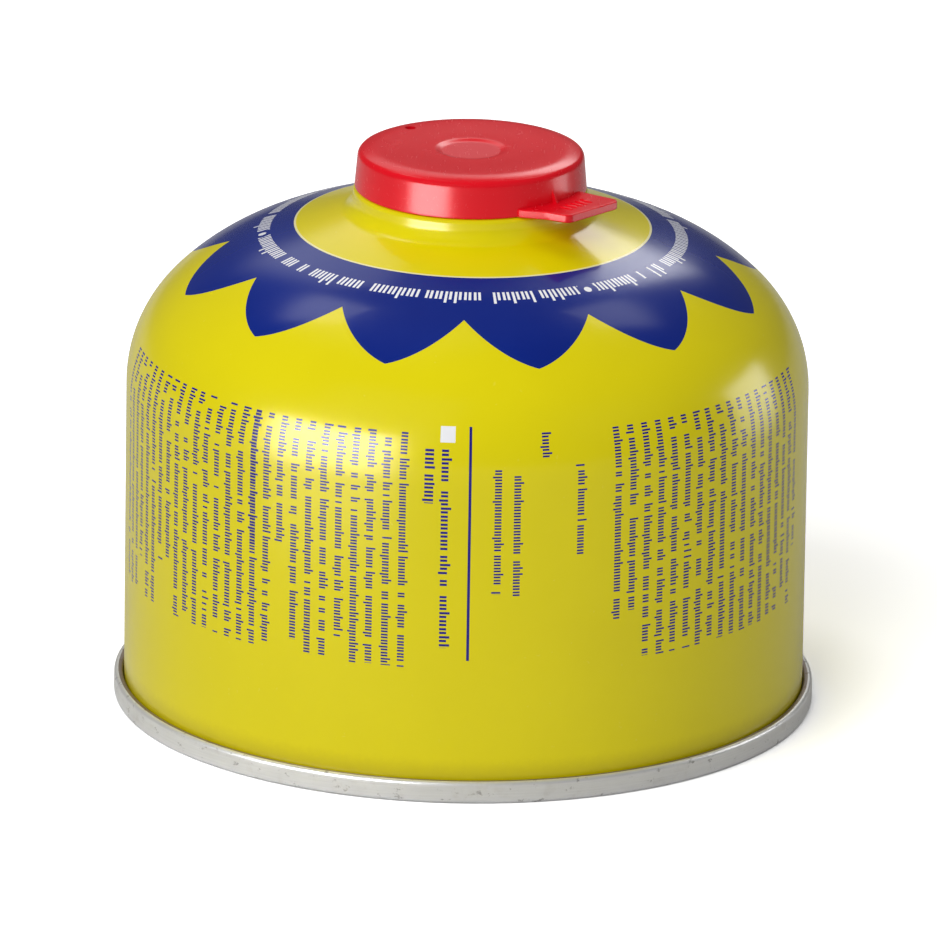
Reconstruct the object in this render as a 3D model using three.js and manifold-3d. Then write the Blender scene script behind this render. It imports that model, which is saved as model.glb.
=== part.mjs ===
import * as THREE from 'three';
import { mergeVertices } from 'three/addons/utils/BufferGeometryUtils.js';
import Module from 'manifold-3d';

const wasm = await Module();
wasm.setup();

// A threaded valve fuel canister. Lengths are in millimetres and angles in degrees.
// The canister stands on z = 0 with its axis on +Z, and the pull tab is on the right of its front, which faces -Y.

// Painted can: a drawn shell with a domed shoulder and a rolled curl at its neck.
const bodyRadius = 53.44;
const wallTop = 50.95;
const shoulderRadius = 21.65;
const shoulderTurn = 45;
const crownRadius = 37.06;
const coneSlope = 17.2;
const neckFillet = 2.87;
const neckWall = 0.5;
const neckEdge = 0.8;
const bodySheet = 0.45;
const curlBore = 12.7;
const curlTube = 1.45;
const curlGap = 0.14;

// Seamed base end: a foot ring rolled round the can's lower edge, and a panel that domes up into the can.
const seamBand = 1.56;
const seamHeight = 3.49;
const seamFloor = 1;
const seamRound = 0.6;
const seamGap = 0.15;
const baseSheet = 0.5;
const hookWidth = 1.14;
const countersink = 3.5;
const countersinkBend = 1;
const baseSlope = 16;

// Valve cup: tinplate rolled over the curl, a well with a floor, and a collar that stands up in its middle.
const cupSheet = 0.45;
const cupTuck = 60;
const cupDepth = 8.85;
const cupCorner = 1.1;
const crimpBulge = 1.05;
const crimpFlank = 0.97;
const collarRadius = 5.555;
const collarBelowRim = 0.5;
const collarRound = 0.5;
const collarFillet = 0.6;
const stemHole = 2.6;

// Gasket on the curl, seal under the collar's top, and the valve that hangs in the collar.
const gasketThickness = 0.3;
const sealThickness = 1.2;
const sealBore = 1.9;
const headLength = 5.5;
const housingLength = 15;
const housingWaist = 4.1;
const housingFloor = 1.5;
const inletBore = 0.8;
const valveBore = 2.9;
const stemBelowCollar = 0.6;
const stemHeadThickness = 1.2;
const stemPin = 1.2;
const stemPinLength = 6.5;
const stemDimple = 0.8;
const stemDimpleDepth = 0.4;
const springWire = 0.25;
const springTurns = 7;

// Cap: a thin-walled moulding with a dished top, a vent hole, and a pull tab at its lower edge.
const capWall = 1.2;
const capDraft = 5;
const capRound = 1.15;
const capHeadroom = 0.75;
const capSideGap = 0.5;
const beadHeight = 0.9;
const beadLift = 0.7;
const capBrow = 7;
const browSlope = 20;
const dishDepth = 0.5;
const dishDisc = 4.4;
const dishSlopeWidth = 1.4;
const dishSag = 0.1;
const ventBore = 0.85;
const ventPlace = 13.9;
const ventAngle = -136.5;
const tabAngle = 51.8;
const tabReach = 6.5;
const tabSkew = 0.45;
const tabWidth = 11.9;
const tabThickness = 1.35;
const tabCorner = 1.2;
const tabWaist = 2.2;
const tabFlare = 0.7;
const tabWaistRound = 3;
const tabTaper = 0.36;
const webAngle = 28;
const ribCount = 5;
const ribPitch = 1.25;
const ribWidth = 0.5;
const ribLength = 2.4;
const ribHeight = 0.25;
const gussetAngle = 45.8;
const gussetHeight = 2;
const gussetDepth = 0.75;
const gussetWidth = 0.4;

// Clearances.
const fillGap = 0.3;
const fitGap = 0.05;
const slideGap = 0.1;
const housingGap = 0.25;
const pocketGap = 0.35;
const neckLip = 0.24;

// How finely round shapes are divided.
const turnSides = 48;
const valveSides = 24;
const curlStep = 30;
const cornerSteps = 3;

const sin = (angle) => Math.sin(THREE.MathUtils.degToRad(angle));
const cos = (angle) => Math.cos(THREE.MathUtils.degToRad(angle));
const tan = (angle) => Math.tan(THREE.MathUtils.degToRad(angle));

// Places that follow from the sizes. A place in a section is a radius and a height.
const curlCentreRadius = curlBore + curlTube;
const gasketInner = curlTube + fitGap;
const gasketOuter = gasketInner + gasketThickness;
const cupInner = gasketOuter + fitGap;
const cupOuter = cupInner + cupSheet;
const cupRimRadius = curlCentreRadius + cupOuter;
const capBore = cupRimRadius + capSideGap;
const capRadius = capBore + capWall;
const neckRadius = capRadius + neckLip;

const shoulderCentre = [bodyRadius - shoulderRadius, wallTop];
const shoulderEnd = [shoulderCentre[0] + shoulderRadius * cos(shoulderTurn), wallTop + shoulderRadius * sin(shoulderTurn)];
const crownCentre = [shoulderEnd[0] - crownRadius * cos(shoulderTurn), shoulderEnd[1] - crownRadius * sin(shoulderTurn)];
const crownEnd = [crownCentre[0] + crownRadius * sin(coneSlope), crownCentre[1] + crownRadius * cos(coneSlope)];
const coneTopRadius = neckRadius + neckFillet * (1 - sin(coneSlope));
const coneTopHeight = crownEnd[1] + (crownEnd[0] - coneTopRadius) * tan(coneSlope);
const filletCentre = [neckRadius + neckFillet, coneTopHeight + neckFillet * cos(coneSlope)];
const shoulderTop = filletCentre[1] + neckWall + neckEdge;

const curlHeight = shoulderTop + cupOuter * sin(cupTuck) + curlGap;
const cupRimTop = curlHeight + cupOuter;
const cupFloor = cupRimTop - cupDepth;
const collarTop = cupRimTop - collarBelowRim;
const collarBore = collarRadius - cupSheet;
const sealTop = collarTop - cupSheet - fitGap;
const sealBottom = sealTop - sealThickness;
const headRadius = collarBore - housingGap;
const housingTop = sealBottom - fitGap;
const housingBottom = housingTop - housingLength;
const springSeat = housingBottom + housingFloor;
const stemShaft = sealBore - slideGap;
const stemTop = collarTop - stemBelowCollar;
const stemHeadTop = sealBottom - fitGap;
const stemHeadBottom = stemHeadTop - stemHeadThickness;
const pocketFloor = cupFloor - cupSheet - fillGap;

const capBottom = shoulderTop + fitGap;
const capCrest = cupRimTop + capHeadroom + capWall;

function arc(centre, radius, from, to, steps) {
  const points = [];
  for (let step = 0; step <= steps; step += 1) {
    const angle = from + ((to - from) * step) / steps;
    points.push([centre[0] + radius * cos(angle), centre[1] + radius * sin(angle)]);
  }
  return points;
}

// The can's curl, its gasket and the cup's rim are rolled about one centre, with their corners at the same angles.
function roll(radius, from, to) {
  return arc([curlCentreRadius, curlHeight], radius, from, to, Math.abs(to - from) / curlStep);
}

function solid(geometry) {
  geometry.deleteAttribute('normal');
  geometry.deleteAttribute('uv');
  const merged = mergeVertices(geometry, 1e-5);
  return new wasm.Manifold(new wasm.Mesh({
    numProp: 3,
    vertProperties: new Float32Array(merged.attributes.position.array),
    triVerts: new Uint32Array(merged.index.array),
  }));
}

// A section is turned about the axis. It runs outwards along its underside and back along its top.
function turned(section, sides) {
  const points = section.map(([radius, height]) => new THREE.Vector2(radius, height));
  return solid(new THREE.LatheGeometry(points, sides).rotateX(Math.PI / 2));
}

function closed(section) {
  return [...section, section[0]];
}

function raised(points, bottom, height) {
  const outline = new THREE.Shape(points.map(([x, y]) => new THREE.Vector2(x, y)));
  const geometry = new THREE.ExtrudeGeometry(outline, { depth: height, bevelEnabled: false, steps: 1 });
  return solid(geometry.translate(0, 0, bottom));
}

function piece(name, shape, material) {
  const made = shape.getMesh();
  const geometry = new THREE.BufferGeometry();
  geometry.setAttribute('position', new THREE.BufferAttribute(new Float32Array(made.vertProperties), 3));
  geometry.setIndex(new THREE.BufferAttribute(new Uint32Array(made.triVerts), 1));
  geometry.computeVertexNormals();
  const mesh = new THREE.Mesh(geometry, material);
  mesh.name = name;
  return mesh;
}

function finish(colour, roughness, metalness) {
  return new THREE.MeshStandardMaterial({ color: colour, roughness, metalness });
}

// The base panel's bend and dome share their centres with the can's filling, which lies above them.
const seamRadius = bodyRadius + seamBand;
const chuckRadius = bodyRadius - hookWidth - fillGap;
const bendCentre = [chuckRadius - baseSheet - countersinkBend, countersink];

function panelCurve(offset, bendSteps, domeSteps) {
  const bend = countersinkBend + offset;
  const domeRadius = bendCentre[0] / sin(baseSlope) + bend;
  const domeCentre = [0, bendCentre[1] - bendCentre[0] / tan(baseSlope)];
  return [
    ...arc(bendCentre, bend, 0, 90 - baseSlope, bendSteps),
    ...arc(domeCentre, domeRadius, 90 - baseSlope, 90, domeSteps).slice(1),
  ];
}

function baseEnd() {
  const footRound = seamRound;
  const hookInside = bodyRadius + seamGap;
  const section = [
    ...panelCurve(0, 3, 6).reverse(),
    [chuckRadius - baseSheet, footRound],
    [chuckRadius - baseSheet + footRound, 0],
    ...arc([seamRadius - footRound, footRound], footRound, -90, 0, 3),
    ...arc([seamRadius - seamRound, seamHeight - seamRound], seamRound, 0, 90, 3),
    [hookInside + seamGap, seamHeight],
    [hookInside, seamHeight - seamGap],
    [hookInside, seamFloor],
    [chuckRadius, seamFloor],
    ...panelCurve(baseSheet, 3, 6),
  ];
  return turned(section, turnSides);
}

function canBody() {
  const wellRadius = curlBore + crimpBulge + pocketGap;
  const boreRadius = housingWaist + pocketGap;
  const stemOutside = curlBore + bodySheet;
  const curlMeets = curlHeight - Math.sqrt(curlTube ** 2 - (curlCentreRadius - stemOutside) ** 2);
  const section = [
    ...panelCurve(baseSheet + fillGap, 3, 6).reverse(),
    [bodyRadius - hookWidth, seamFloor + fillGap],
    [bodyRadius, seamFloor + fillGap],
    ...arc(shoulderCentre, shoulderRadius, 0, shoulderTurn, 6),
    ...arc(crownCentre, crownRadius, shoulderTurn, 90 - coneSlope, 4).slice(1),
    ...arc(filletCentre, neckFillet, 270 - coneSlope, 180, 4),
    ...arc([neckRadius - neckEdge, shoulderTop - neckEdge], neckEdge, 0, 90, 3),
    [stemOutside, shoulderTop],
    [stemOutside, curlMeets],
    ...roll(curlTube, -120, 180),
    [curlBore, shoulderTop - bodySheet],
    [wellRadius, shoulderTop - bodySheet],
    [wellRadius, pocketFloor],
    [boreRadius, pocketFloor],
    [boreRadius, housingBottom - fillGap],
    [0, housingBottom - fillGap],
  ];
  return turned(section, turnSides);
}

function valveCup() {
  const wellInside = curlCentreRadius - cupOuter;
  const wellOutside = curlCentreRadius - cupInner;
  const crimpTop = shoulderTop - bodySheet - fitGap;
  const crimpBottom = cupFloor + cupCorner + fitGap;
  const crimp = (radius) => [
    [radius, crimpTop],
    [radius + crimpBulge, crimpTop - crimpFlank],
    [radius + crimpBulge, crimpBottom + crimpFlank],
    [radius, crimpBottom],
  ];
  const cornerCentre = [wellInside - cupCorner, cupFloor + cupCorner];
  const footCentre = [collarRadius + collarFillet, cupFloor + collarFillet];
  const topCentre = [collarRadius - collarRound - cupSheet, collarTop - collarRound - cupSheet];
  const inside = [
    ...roll(cupOuter, -cupTuck, 180),
    ...crimp(wellInside),
    ...arc(cornerCentre, cupCorner, 0, -90, 2),
    ...arc(footCentre, collarFillet, 270, 180, 2),
    ...arc(topCentre, collarRound + cupSheet, 0, 90, 3),
    [stemHole, collarTop],
  ];
  const outside = [
    ...roll(cupInner, -cupTuck, 180),
    ...crimp(wellOutside),
    ...arc(cornerCentre, cupCorner + cupSheet, 0, -90, 2),
    ...arc(footCentre, collarFillet + cupSheet, 270, 180, 2),
    ...arc(topCentre, collarRound, 0, 90, 3),
    [stemHole, collarTop - cupSheet],
  ];
  return turned(closed([...inside, ...outside.reverse()]), turnSides);
}

function cupGasket() {
  const section = [...roll(gasketOuter, 0, 180), ...roll(gasketInner, 180, 0)];
  return turned(closed(section), turnSides);
}

function stemSeal() {
  const section = [[sealBore, sealBottom], [headRadius, sealBottom], [headRadius, sealTop], [sealBore, sealTop]];
  return turned(closed(section), valveSides);
}

function valveHousing() {
  const section = [
    [inletBore, housingBottom],
    [housingWaist, housingBottom],
    [housingWaist, housingTop - headLength],
    [headRadius, housingTop - headLength + (headRadius - housingWaist)],
    [headRadius, housingTop],
    [valveBore, housingTop],
    [valveBore, springSeat],
    [inletBore, springSeat],
  ];
  return turned(closed(section), valveSides);
}

function valveStem() {
  const headRadiusInBore = valveBore - housingGap;
  const section = [
    [0, stemHeadBottom - stemPinLength],
    [stemPin, stemHeadBottom - stemPinLength],
    [stemPin, stemHeadBottom],
    [headRadiusInBore, stemHeadBottom],
    [headRadiusInBore, stemHeadTop],
    [stemShaft, stemHeadTop],
    [stemShaft, stemTop],
    [stemDimple, stemTop],
    [0, stemTop - stemDimpleDepth],
  ];
  return turned(section, valveSides);
}

// The spring's end turns lie flat on their seats, and its turns between them are evenly spread.
class SpringPath extends THREE.Curve {
  constructor(radius, bottom, top, turns, wire) {
    super();
    Object.assign(this, { radius, bottom, top, turns, wire });
  }

  getPoint(t, target = new THREE.Vector3()) {
    const angle = t * this.turns * 360;
    const open = THREE.MathUtils.clamp((t * this.turns - 1) / (this.turns - 2), 0, 1);
    const closedRise = this.wire * 2.2;
    const end = Math.min(t * this.turns, 1) + Math.max(t * this.turns - (this.turns - 1), 0);
    const rise = end * closedRise + open * (this.top - this.bottom - 2 * closedRise);
    return target.set(this.radius * sin(angle), -this.radius * cos(angle), this.bottom + rise);
  }
}

function valveSpring() {
  const radius = (stemPin + valveBore) / 2;
  const bottom = springSeat + fitGap + springWire;
  const top = stemHeadBottom - fitGap - springWire;
  const path = new SpringPath(radius, bottom, top, springTurns, springWire);
  const section = new THREE.Shape();
  for (let corner = 0; corner < 6; corner += 1) {
    const x = springWire * cos(corner * 60);
    const y = springWire * sin(corner * 60);
    if (corner === 0) section.moveTo(x, y);
    else section.lineTo(x, y);
  }
  const steps = springTurns * 12;
  return solid(new THREE.ExtrudeGeometry(section, { steps, extrudePath: path, bevelEnabled: false }));
}

// An outline's corners are places, with a radius where the corner is rounded.
function softened(corners) {
  return corners.flatMap(([x, y, radius], index) => {
    if (!radius) return [[x, y]];
    const here = new THREE.Vector2(x, y);
    const towards = ([otherX, otherY]) => new THREE.Vector2(otherX, otherY).sub(here).normalize();
    const before = towards(corners[index - 1]);
    const after = towards(corners[index + 1]);
    const half = before.angleTo(after) / 2;
    const centre = before.clone().add(after).setLength(radius / Math.sin(half)).add(here);
    const first = here.clone().addScaledVector(before, radius / Math.tan(half)).sub(centre);
    const last = here.clone().addScaledVector(after, radius / Math.tan(half)).sub(centre);
    const start = THREE.MathUtils.radToDeg(first.angle());
    const turn = THREE.MathUtils.radToDeg(last.angle()) - start;
    const sweep = THREE.MathUtils.euclideanModulo(turn + 180, 360) - 180;
    return arc([centre.x, centre.y], radius, start, start + sweep, cornerSteps);
  });
}

// A place round the cap: out from the axis and across, as seen along the pull tab.
function fromTab(out, across) {
  return [
    out * sin(tabAngle) + across * cos(tabAngle),
    -out * cos(tabAngle) + across * sin(tabAngle),
  ];
}

// The cap's side turns in through a small round, and a gentle brow leads from it up to the crest of the dished top.
function capShell() {
  const sideTop = capCrest - capBrow + (capBrow - capRound) * cos(browSlope);
  const roundCentre = [capRadius - (sideTop - capBottom) * tan(capDraft) - capRound * cos(capDraft), sideTop];
  const browCentre = [roundCentre[0] - (capBrow - capRound) * sin(browSlope), capCrest - capBrow];
  const crest = browCentre[0];
  const discTop = capCrest - dishDepth;
  const underRound = capRound - capWall / 2;
  const boreAt = (height) => capBore - (height - capBottom) * tan(capDraft);
  const roofEdge = sideTop + capRound - capWall;
  const beadMiddle = capBottom + beadLift;
  const beadRadius = cupRimRadius + slideGap;
  const section = [
    [0, discTop - capWall],
    [dishDisc + capWall / 4, discTop - capWall],
    [crest, capCrest - capWall],
    [boreAt(roofEdge) - underRound, roofEdge],
    [boreAt(roofEdge - underRound), roofEdge - underRound],
    [boreAt(beadMiddle + beadHeight), beadMiddle + beadHeight],
    [beadRadius, beadMiddle + beadHeight / 4],
    [beadRadius, beadMiddle - beadHeight / 4],
    [capBore, capBottom],
    [capRadius, capBottom],
    ...arc(roundCentre, capRound, capDraft, 90 - browSlope, 4),
    ...arc(browCentre, capBrow, 90 - browSlope, 90, 3).slice(1),
    [(crest + dishDisc) / 2, capCrest - dishSag],
    [dishDisc + dishSlopeWidth, capCrest - dishDepth / 2],
    [dishDisc, discTop],
    [0, discTop],
  ];
  return turned(section, turnSides);
}

function capTab() {
  const half = tabWidth / 2;
  const near = capRadius + tabReach - tabSkew;
  const far = capRadius + tabReach + tabSkew;
  const inWall = capBore + capWall / 2;
  const innerOut = inWall * cos(webAngle);
  const corners = [
    [innerOut, -inWall * sin(webAngle)],
    [capRadius * cos(webAngle) + fillGap, -capRadius * sin(webAngle)],
    [capRadius + tabWaist, -half - tabFlare, tabWaistRound],
    [near, -half, tabCorner],
    [far, half, tabCorner],
    [capRadius, half - tabTaper],
    [innerOut, half - tabTaper],
  ];
  const outline = softened(corners).map(([out, across]) => fromTab(out, across));
  const core = turned([[0, capBottom - 1], [inWall, capBottom - 1], [inWall, capCrest], [0, capCrest]], turnSides);
  let tab = raised(outline, capBottom, tabThickness).subtract(core);
  for (let rib = 0; rib < ribCount; rib += 1) {
    const across = (rib - ribCount / 2) * ribPitch;
    const out = capRadius + tabReach / 2;
    const ends = [
      fromTab(out - ribLength / 2, across - ribWidth / 2),
      fromTab(out + ribLength / 2, across - ribWidth / 2),
      fromTab(out + ribLength / 2, across + ribWidth / 2),
      fromTab(out - ribLength / 2, across + ribWidth / 2),
    ];
    tab = tab.add(raised(ends, capBottom + tabThickness / 2, tabThickness / 2 + ribHeight));
  }
  return tab;
}

// A small web that stiffens the corner between the tab's flange and the cap's side.
function capGusset() {
  const bottom = capBottom + tabThickness / 2;
  const top = capBottom + tabThickness + gussetHeight;
  const inside = capRadius - capWall * 0.7;
  const side = capRadius - (top - capBottom) * tan(capDraft);
  const corners = [[inside, bottom], [capRadius + gussetDepth, bottom], [capRadius + gussetDepth, capBottom + tabThickness],
    [side, top], [inside - (top - capBottom) * tan(capDraft), top]];
  const web = new THREE.Shape(corners.map(([x, y]) => new THREE.Vector2(x, y)));
  const geometry = new THREE.ExtrudeGeometry(web, { depth: gussetWidth, bevelEnabled: false, steps: 1 });
  geometry.translate(0, 0, -gussetWidth / 2);
  geometry.rotateX(Math.PI / 2);
  geometry.rotateZ(THREE.MathUtils.degToRad(gussetAngle - 90));
  return solid(geometry);
}

function cap() {
  const vent = new THREE.CylinderGeometry(ventBore, ventBore, capWall * 6, valveSides / 2);
  vent.rotateX(Math.PI / 2);
  vent.translate(ventPlace * sin(ventAngle), -ventPlace * cos(ventAngle), capCrest);
  return capShell().add(capTab()).add(capGusset()).subtract(solid(vent));
}

const yellowPaint = finish(0xddd100, 0.28, 0.1);
const tinplate = finish(0xc4c4c0, 0.35, 0.9);
const springSteel = finish(0xa8aaac, 0.3, 0.95);
const rubber = finish(0x232323, 0.8, 0);
const paleAcetal = finish(0xe6e4da, 0.45, 0);
const redPlastic = finish(0xe01520, 0.35, 0);

const canister = new THREE.Group();
canister.add(
  piece('can_body', canBody(), yellowPaint),
  piece('base_end', baseEnd(), tinplate),
  piece('valve_cup', valveCup(), tinplate),
  piece('cup_gasket', cupGasket(), rubber),
  piece('stem_seal', stemSeal(), rubber),
  piece('valve_housing', valveHousing(), paleAcetal),
  piece('valve_spring', valveSpring(), springSteel),
  piece('valve_stem', valveStem(), paleAcetal),
  piece('cap', cap(), redPlastic),
);

export default canister;
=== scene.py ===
# Fuel canister: the finish of every piece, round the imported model.
import math

import bmesh
import bpy
from mathutils import Matrix, Vector


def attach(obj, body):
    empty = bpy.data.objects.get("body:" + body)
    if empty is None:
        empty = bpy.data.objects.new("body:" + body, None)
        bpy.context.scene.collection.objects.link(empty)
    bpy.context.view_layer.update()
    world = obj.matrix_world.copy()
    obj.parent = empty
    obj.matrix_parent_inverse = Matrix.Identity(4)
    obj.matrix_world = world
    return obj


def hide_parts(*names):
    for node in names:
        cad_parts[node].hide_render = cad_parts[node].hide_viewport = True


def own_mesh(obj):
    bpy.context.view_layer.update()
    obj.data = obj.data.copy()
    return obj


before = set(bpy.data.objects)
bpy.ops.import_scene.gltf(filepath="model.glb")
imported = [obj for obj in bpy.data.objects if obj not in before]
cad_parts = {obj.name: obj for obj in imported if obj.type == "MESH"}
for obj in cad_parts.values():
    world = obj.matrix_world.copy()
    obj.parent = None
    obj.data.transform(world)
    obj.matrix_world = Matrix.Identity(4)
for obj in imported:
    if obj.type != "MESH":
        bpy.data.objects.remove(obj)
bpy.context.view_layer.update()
mm = 0.001
print("frame loaded,", len(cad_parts), "nodes")


# an operator for wires, which adds a Math node
def operator(operation, swapped=False):
    def apply(self, other):
        return self.maker.math(operation, *((other, self) if swapped else (self, other)))
    return apply


# An output socket of a node tree, on which arithmetic adds Math nodes.
class Wire:
    def __init__(self, maker, socket):
        self.maker = maker
        self.socket = socket

    def math(self, operation, *others):
        return self.maker.math(operation, self, *others)

    def __neg__(self):
        return self.math("MULTIPLY", -1)

    __add__ = operator("ADD")
    __radd__ = operator("ADD", True)
    __sub__ = operator("SUBTRACT")
    __rsub__ = operator("SUBTRACT", True)
    __mul__ = operator("MULTIPLY")
    __rmul__ = operator("MULTIPLY", True)
    __truediv__ = operator("DIVIDE")
    __gt__ = operator("GREATER_THAN")
    __lt__ = operator("LESS_THAN")


# Adds nodes to a material's tree or to a geometry tree.
class Maker:
    def __init__(self, tree):
        self.tree = tree

    def node(self, kind, settings=None, values=None, output=0):
        made = self.tree.nodes.new(kind)
        for name, value in (settings or {}).items():
            setattr(made, name, value)
        for key, value in (values or {}).items():
            if isinstance(value, Wire):
                self.tree.links.new(value.socket, made.inputs[key])
            else:
                made.inputs[key].default_value = value
        return Wire(self, made.outputs[output]) if len(made.outputs) else made

    def math(self, operation, *values):
        return self.node("ShaderNodeMath", {"operation": operation}, dict(enumerate(values)))

    def split(self, vector):
        parted = self.node("ShaderNodeSeparateXYZ", {}, {0: vector})
        return [Wire(self, socket) for socket in parted.socket.node.outputs]

    def join(self, x, y, z):
        return self.node("ShaderNodeCombineXYZ", {}, {0: x, 1: y, 2: z})

    def mix(self, share, first, second):
        return self.node("ShaderNodeMix", {"data_type": "RGBA"}, {0: share, 6: first, 7: second}, 2)

    def clamp(self, value, low=0.0, high=1.0):
        return self.node("ShaderNodeClamp", {}, {0: value, 1: low, 2: high})

    # a share from 0 to 1 as the value goes from low to high
    def ramp(self, value, low, high):
        return self.node("ShaderNodeMapRange", {"interpolation_type": "SMOOTHSTEP"},
                         {"Value": value, "From Min": low, "From Max": high})

    def noise(self, vector, scale, detail=3.0, roughness=0.5):
        return self.node("ShaderNodeTexNoise", {"noise_dimensions": "3D"},
                         {"Vector": vector, "Scale": scale, "Detail": detail, "Roughness": roughness})

    def bump(self, height, strength, distance):
        return self.node("ShaderNodeBump", {},
                         {"Height": height, "Strength": strength, "Distance": distance})

    def scaled(self, vector, x, y, z):
        return self.node("ShaderNodeVectorMath", {"operation": "MULTIPLY"}, {0: vector, 1: (x, y, z)})


def linear(channel):
    share = channel / 255
    return share / 12.92 if share <= 0.04045 else ((share + 0.055) / 1.055) ** 2.4


def colour(red, green, blue):
    return (linear(red), linear(green), linear(blue), 1.0)


# a new material: its maker, and the object's own coordinates in millimetres
def newMaterial(name):
    material = bpy.data.materials.new(name)
    material.use_nodes = True
    material.node_tree.nodes.clear()
    maker = Maker(material.node_tree)
    own = maker.node("ShaderNodeTexCoord", output="Object")
    return material, maker, maker.scaled(own, 1000, 1000, 1000)


def surface(maker, values):
    shader = maker.node("ShaderNodeBsdfPrincipled", {}, values)
    maker.node("ShaderNodeOutputMaterial", {}, {"Surface": shader})


# distance from the axis, and the angle round it in degrees from the front towards the right
def polar(maker, x, y):
    radius = maker.math("SQRT", x * x + y * y)
    angle = maker.math("ARCTAN2", x, -y) * (180 / math.pi)
    return radius, angle


# White Noise at the middle of a row or of one of its places, so that it is even over them
def dice(maker, row, place, seed, output):
    spot = maker.join(row + 0.5, place, seed)
    return maker.node("ShaderNodeTexWhiteNoise", {"noise_dimensions": "3D"}, {"Vector": spot}, output)


# where the two strokes of a cell start, and the dice that make one tall, deep or single
strokeShares = {"first": 0.12, "second": 0.58, "tallFrom": 0.74, "deepTo": 0.12, "single": 0.1}


# Rows of plain upright strokes, at the scale of small print, with two strokes to a cell and gaps here and
# there. "along" runs along a row and "across" over the rows.
def strokeRows(maker, along, across, sizes):
    row = (across / sizes["rowPitch"]).math("FLOOR")
    rise = across - row * sizes["rowPitch"]
    cell = along / sizes["cell"]
    inCell = cell.math("FRACT") * sizes["cell"]
    cellDice = dice(maker, row, cell.math("FLOOR") + 0.5, sizes["seed"], "Color")
    gapDice, tallDice, secondDice = maker.split(cellDice)
    rowDice = dice(maker, row, sizes["seed"], 7.5, "Value")
    rowEnd = sizes["length"] - sizes["ragged"] * rowDice.math("POWER", sizes["raggedPower"])
    foot = sizes["foot"]
    top = foot + sizes["low"] + (sizes["tall"] - sizes["low"]) * (tallDice > strokeShares["tallFrom"])
    bottom = foot - sizes["deep"] * (tallDice < strokeShares["deepTo"])
    firstStart = sizes["cell"] * strokeShares["first"]
    secondStart = sizes["cell"] * strokeShares["second"]
    first = (inCell > firstStart) * (inCell < firstStart + sizes["stroke"])
    first = first * (rise > bottom) * (rise < top)
    second = (inCell > secondStart) * (inCell < secondStart + sizes["stroke"])
    second = second * (rise > foot) * (rise < foot + sizes["low"]) * (secondDice > strokeShares["single"])
    inRows = (row > -0.5) * (row < sizes["rows"] - 0.5) * (along > 0) * (along < rowEnd)
    return inRows * (gapDice > sizes["gaps"]) * first.math("MAXIMUM", second)


canSizes = {
    "bodyRadius": 53.44, "wallTop": 50.95, "shoulderRadius": 21.65, "shoulderTurn": 45,
    "crownRadius": 37.06, "coneSlope": 17.2, "neckRadius": 18.39, "neckFillet": 2.87, "neckWall": 0.5,
    "neckEdge": 0.8, "sheet": 0.45, "curlBore": 12.7, "curlTube": 1.45, "hookWidth": 1.14,
    "pocketRadius": 14.1, "pocketFloor": 77.871, "boreRadius": 4.45, "boreFloor": 69.921,
    "sides": 256,
}
printSizes = {
    "offset": 0.45, "petals": 12, "petalTurn": 13.3, "tipRadius": 45.85, "valleyRadius": 37.97,
    "tipPoint": 0.4, "bandInner": 27.96, "lineWidth": 0.32, "ringRadius": 31.7, "ringMiddle": 32.9,
    "dots": 3, "dotTurn": 33.0, "dotRadius": 0.62, "dotClear": 1.7, "ruleAngle": 0.7, "ruleHalf": 0.22,
    "ruleBottom": 22.8, "ruleTop": 60.0, "labelAngle": -3.15, "labelHalf": 1.18, "labelMiddle": 58.85,
    "rowTurn": 2.75, "rowTop": 59.0, "wallMargin": 2, "shadeBottom": 3.6, "shadeTop": 6.2, "shadeGrain": 2,
}
arcLength = canSizes["bodyRadius"] * math.pi / 180  # along the wall, for a degree
ringRow = {
    "rowPitch": 6.0, "cell": 1.5, "seed": 3.5, "length": 400, "ragged": 0, "raggedPower": 1, "foot": 0.0,
    "low": 1.95, "tall": 2.75, "deep": 0.65, "stroke": 0.41, "gaps": 0.07, "rows": 1,
}
smallRow = {
    "rowPitch": printSizes["rowTurn"] * arcLength, "cell": 0.98, "length": 37.6, "ragged": 30,
    "raggedPower": 6, "foot": 0.56, "low": 1.08, "tall": 1.52, "deep": 0.34, "stroke": 0.28, "gaps": 0.1,
}
oneRow = {**smallRow, "rows": 1, "ragged": 0}
headRow = {**oneRow, "cell": 1.3, "foot": 0.3, "tall": 1.6, "stroke": 0.38}
# the blocks of rows on the wall: where each starts, in degrees from the front, its top, and its rows
printBlocks = [
    (-80.4, printSizes["rowTop"], {**smallRow, "seed": 11.5, "rows": 26}),
    (-39.15, printSizes["rowTop"], {**oneRow, "seed": 17.5, "length": 21.7, "stroke": 0.36}),
    (24.9, printSizes["rowTop"], {**smallRow, "seed": 23.5, "rows": 18}),
    (4.2, 53.7, {**smallRow, "seed": 31.5, "rows": 2, "rowPitch": 3.2 * arcLength, "length": 20.6,
                 "ragged": 5}),
    (18.2, 54.0, {**oneRow, "seed": 37.5, "length": 14.7}),
    (12.2, 59.1, {**oneRow, "seed": 41.5, "length": 3.9}),
    (-4.4, 56.8, {**headRow, "seed": 43.5, "length": 32, "low": 1.1}),
    (-7.2, 56.8, {**headRow, "seed": 47.5, "length": 8.7, "low": 1.4}),
]


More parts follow.
